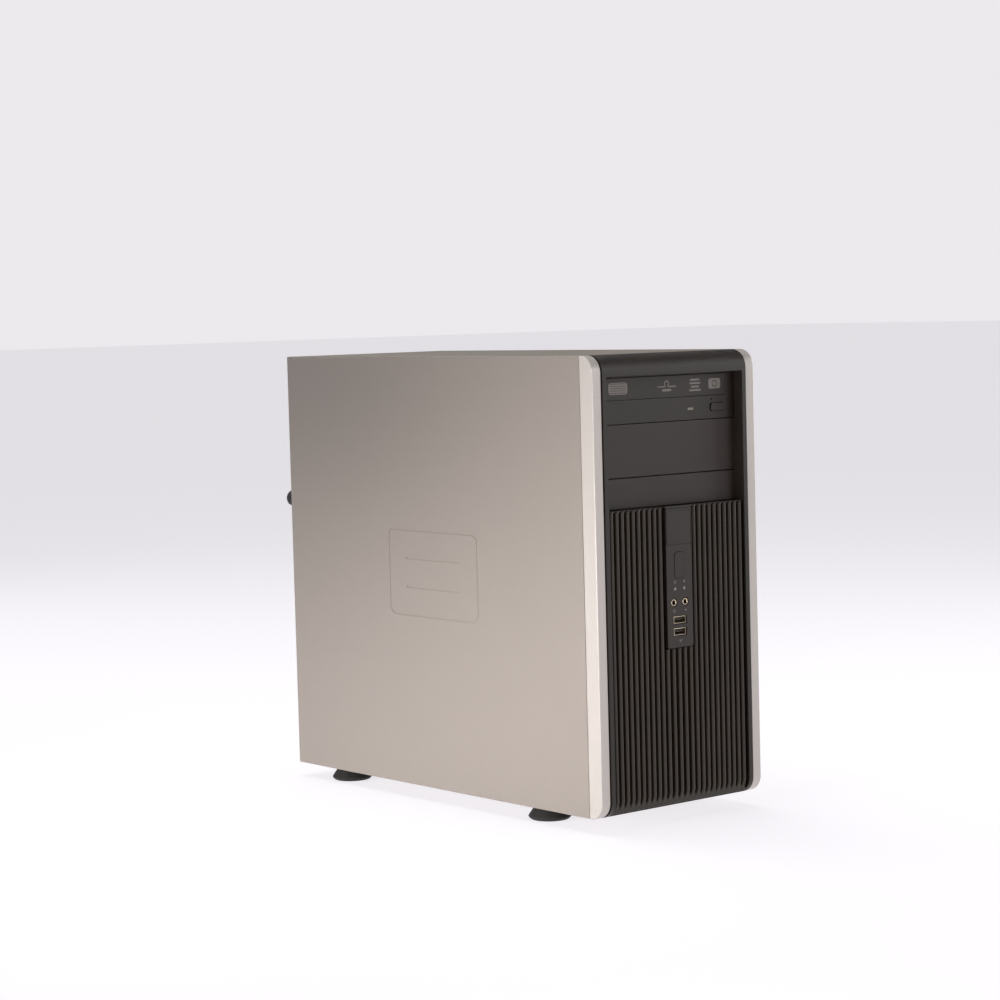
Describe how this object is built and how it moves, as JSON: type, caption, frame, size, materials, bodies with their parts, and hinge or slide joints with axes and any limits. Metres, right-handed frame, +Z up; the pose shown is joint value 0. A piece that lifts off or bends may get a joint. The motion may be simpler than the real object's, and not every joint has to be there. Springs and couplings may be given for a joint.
{
  "type": "desktop computer tower",
  "caption": "Tower computer case with a removable steel side panel, ribbed plastic front, sliding disc tray, buttons, fans and the parts inside.",
  "frame": {"origin": "on the surface the tower stands on, under the middle of its box", "axes": "+Z up, the front faces -Y, +X to the right as seen from the front"},
  "size_m": [0.1758, 0.4204, 0.377],
  "materials": {
    "painted_steel": "satin silver-grey paint",
    "plain_steel": "galvanised sheet",
    "bright_metal": "nickel plate",
    "cast_metal": "cast, matt",
    "aluminium": "extruded",
    "capacitor_can": "sleeved can",
    "black_plastic": "fine texture",
    "silver_plastic": "satin silver paint",
    "pale_plastic": "nylon",
    "latch_green": "nylon",
    "board_green": "solder resist",
    "clear_lens": "clear",
    "cable_black": "sleeved",
    "cable_blue": "sleeved",
    "rubber": "matt"
  },
  "bodies": {
    "chassis": {"board_connectors": "pale_plastic", "board_tray": "plain_steel", "capacitors": "capacitor_can", "case_screws": "bright_metal", "chassis_floor": "painted_steel", "chassis_front_plate": "plain_steel", "chassis_rear_panel": "plain_steel", "chassis_top": "painted_steel", "chipset_heat_sink": "aluminium", "coin_cell": "bright_metal", "drive_activity_lens": "clear_lens", "drive_cage": "plain_steel", "drive_data_cables": "cable_blue", "drive_power_cables": "cable_black", "expansion_slots": "pale_plastic", "fan_screws": "black_plastic", "front_audio_jacks": "bright_metal", "front_io_board": "board_green", "front_panel_cable": "cable_black", "front_usb_ports": "bright_metal", "hard_drive_base": "cast_metal", "hard_drive_cover": "bright_metal", "internal_speaker": "black_plastic", "io_shield": "bright_metal", "main_power_cable": "cable_black", "memory_modules": "board_green", "memory_sockets": "black_plastic", "motherboard": "board_green", "optical_drive_case": "plain_steel", "optical_drive_fascia": "black_plastic", "power_supply_case": "plain_steel", "power_supply_fan_frame": "black_plastic", "power_supply_fan_guard": "bright_metal", "power_supply_inlet": "black_plastic", "power_switch": "black_plastic", "processor_fan_frame": "black_plastic", "processor_heat_sink": "aluminium", "processor_socket": "pale_plastic", "rear_fan_frame": "black_plastic", "rear_ports": "bright_metal", "right_side_cover": "painted_steel", "rubber_feet": "rubber", "slot_covers": "plain_steel"},
    "front_bezel": {"bezel_frame": "black_plastic", "bezel_cheeks": "silver_plastic", "bezel_grille": "black_plastic", "bay_blanks": "black_plastic", "io_cover_plate": "black_plastic", "light_pipes": "clear_lens"},
    "power_button": {"power_button": "black_plastic"},
    "disc_tray": {"optical_tray": "black_plastic", "optical_tray_door": "black_plastic"},
    "eject_button": {"eject_button": "black_plastic"},
    "access_panel": {"access_panel": "painted_steel"},
    "panel_thumbscrew": {"access_panel_thumbscrew": "black_plastic"},
    "rear_fan_rotor": {"rear_fan_rotor": "black_plastic"},
    "processor_fan_rotor": {"processor_fan_rotor": "black_plastic"},
    "power_supply_fan_rotor": {"power_supply_fan_rotor": "black_plastic"},
    "slot_cover_latch": {"slot_cover_latch": "latch_green"},
    "drive_lock_lever": {"drive_lock_lever": "latch_green"}
  },
  "joints": [
    {"name": "front_bezel_swing", "type": "hinge", "parent": "chassis", "child": "front_bezel", "pos_m": [0.0879, -0.1942, 0.1945], "axis": [0, 0, -1], "range_deg": [-40, 0]},
    {"name": "power_button_press", "type": "slide", "parent": "front_bezel", "child": "power_button", "axis": [0, 1, 0], "range_m": [0, 0.0015], "stiffness_N_per_m": 500, "springref_m": -0.0005},
    {"name": "disc_tray_slide", "type": "slide", "parent": "chassis", "child": "disc_tray", "axis": [0, -1, 0], "range_m": [0, 0.128]},
    {"name": "eject_button_press", "type": "slide", "parent": "chassis", "child": "eject_button", "axis": [0, 1, 0], "range_m": [0, 0.001], "stiffness_N_per_m": 400, "springref_m": -0.0005},
    {"name": "access_panel_slide", "type": "slide", "parent": "chassis", "child": "access_panel", "axis": [0, 1, 0], "range_m": [0, 0.42]},
    {"name": "thumbscrew_turn", "type": "hinge", "parent": "access_panel", "child": "panel_thumbscrew", "pos_m": [-0.0795, 0.1998, 0.25], "axis": [0, 1, 0], "continuous": true},
    {"name": "rear_fan_spin", "type": "hinge", "parent": "chassis", "child": "rear_fan_rotor", "pos_m": [-0.026, 0.185, 0.232], "axis": [0, 1, 0], "continuous": true},
    {"name": "processor_fan_spin", "type": "hinge", "parent": "chassis", "child": "processor_fan_rotor", "pos_m": [0.0145, 0.084, 0.202], "axis": [1, 0, 0], "continuous": true},
    {"name": "power_supply_fan_spin", "type": "hinge", "parent": "chassis", "child": "power_supply_fan_rotor", "pos_m": [-0.02, 0.1821, 0.3305], "axis": [0, 1, 0], "continuous": true},
    {"name": "slot_cover_latch_swing", "type": "hinge", "parent": "chassis", "child": "slot_cover_latch", "pos_m": [-0.047, 0.2028, 0.068], "axis": [0, 0, 1], "range_deg": [0, 95]},
    {"name": "drive_lock_swing", "type": "hinge", "parent": "chassis", "child": "drive_lock_lever", "pos_m": [-0.0765, -0.142, 0.348], "axis": [-1, 0, 0], "range_deg": [0, 30]}
  ]
}
